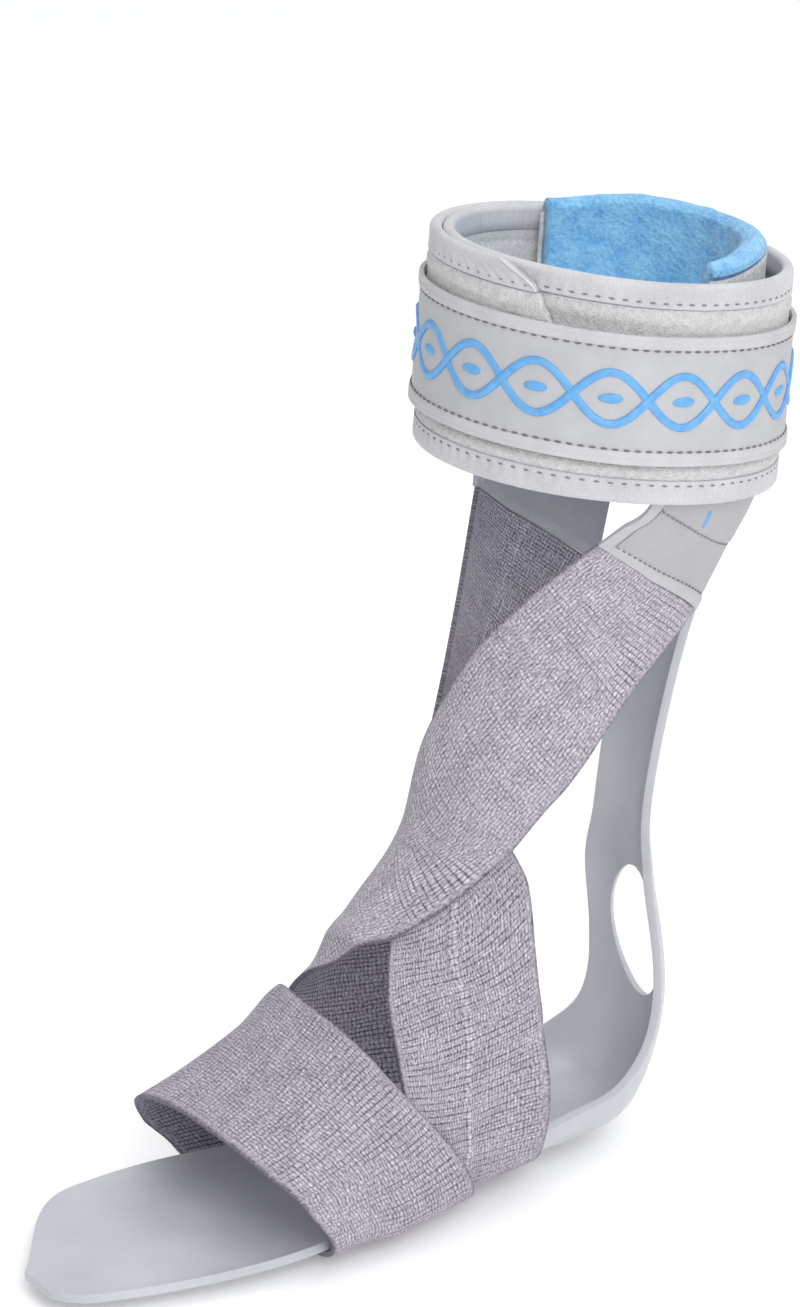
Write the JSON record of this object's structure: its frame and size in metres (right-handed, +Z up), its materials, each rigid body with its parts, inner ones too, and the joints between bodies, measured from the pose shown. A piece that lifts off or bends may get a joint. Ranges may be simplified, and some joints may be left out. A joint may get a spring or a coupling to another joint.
{
  "type": "foot drop brace",
  "caption": "Moulded plastic leaf splint for a left foot and calf, with a padded calf cuff, elastic straps crossed at the ankle and a band round the forefoot.",
  "frame": {"origin": "on top of the sole plate, on its middle line below the leg, where the wearer's heel and ankle stand", "axes": "+Z up along the leg, -Y towards the toes, +X towards the outer side of a left foot"},
  "size_m": [0.1296, 0.3016, 0.3392],
  "materials": {
    "moulded_plastic": "satin moulded polypropylene",
    "ribbed_elastic": "woven elastic with crosswise ribs",
    "smooth_strap": "smooth coated fabric with stitched borders",
    "loop_fabric": "short brushed loop pile",
    "bound_edge": "soft rolled binding",
    "pad_fabric": "grey fleece",
    "blue_lining": "blue soft pile"
  },
  "bodies": {
    "root": {"splint": "moulded_plastic", "ankle_strap": "ribbed_elastic", "stirrup_strap": "ribbed_elastic", "forefoot_band": "ribbed_elastic", "ankle_strap_tab": "smooth_strap", "stirrup_tab": "smooth_strap", "cuff_strap": "smooth_strap", "cuff_wrap": "loop_fabric", "cuff_binding_top": "bound_edge", "cuff_binding_bottom": "bound_edge", "calf_pad_cover": "pad_fabric", "calf_pad_lining": "blue_lining"}
  },
  "joints": []
}
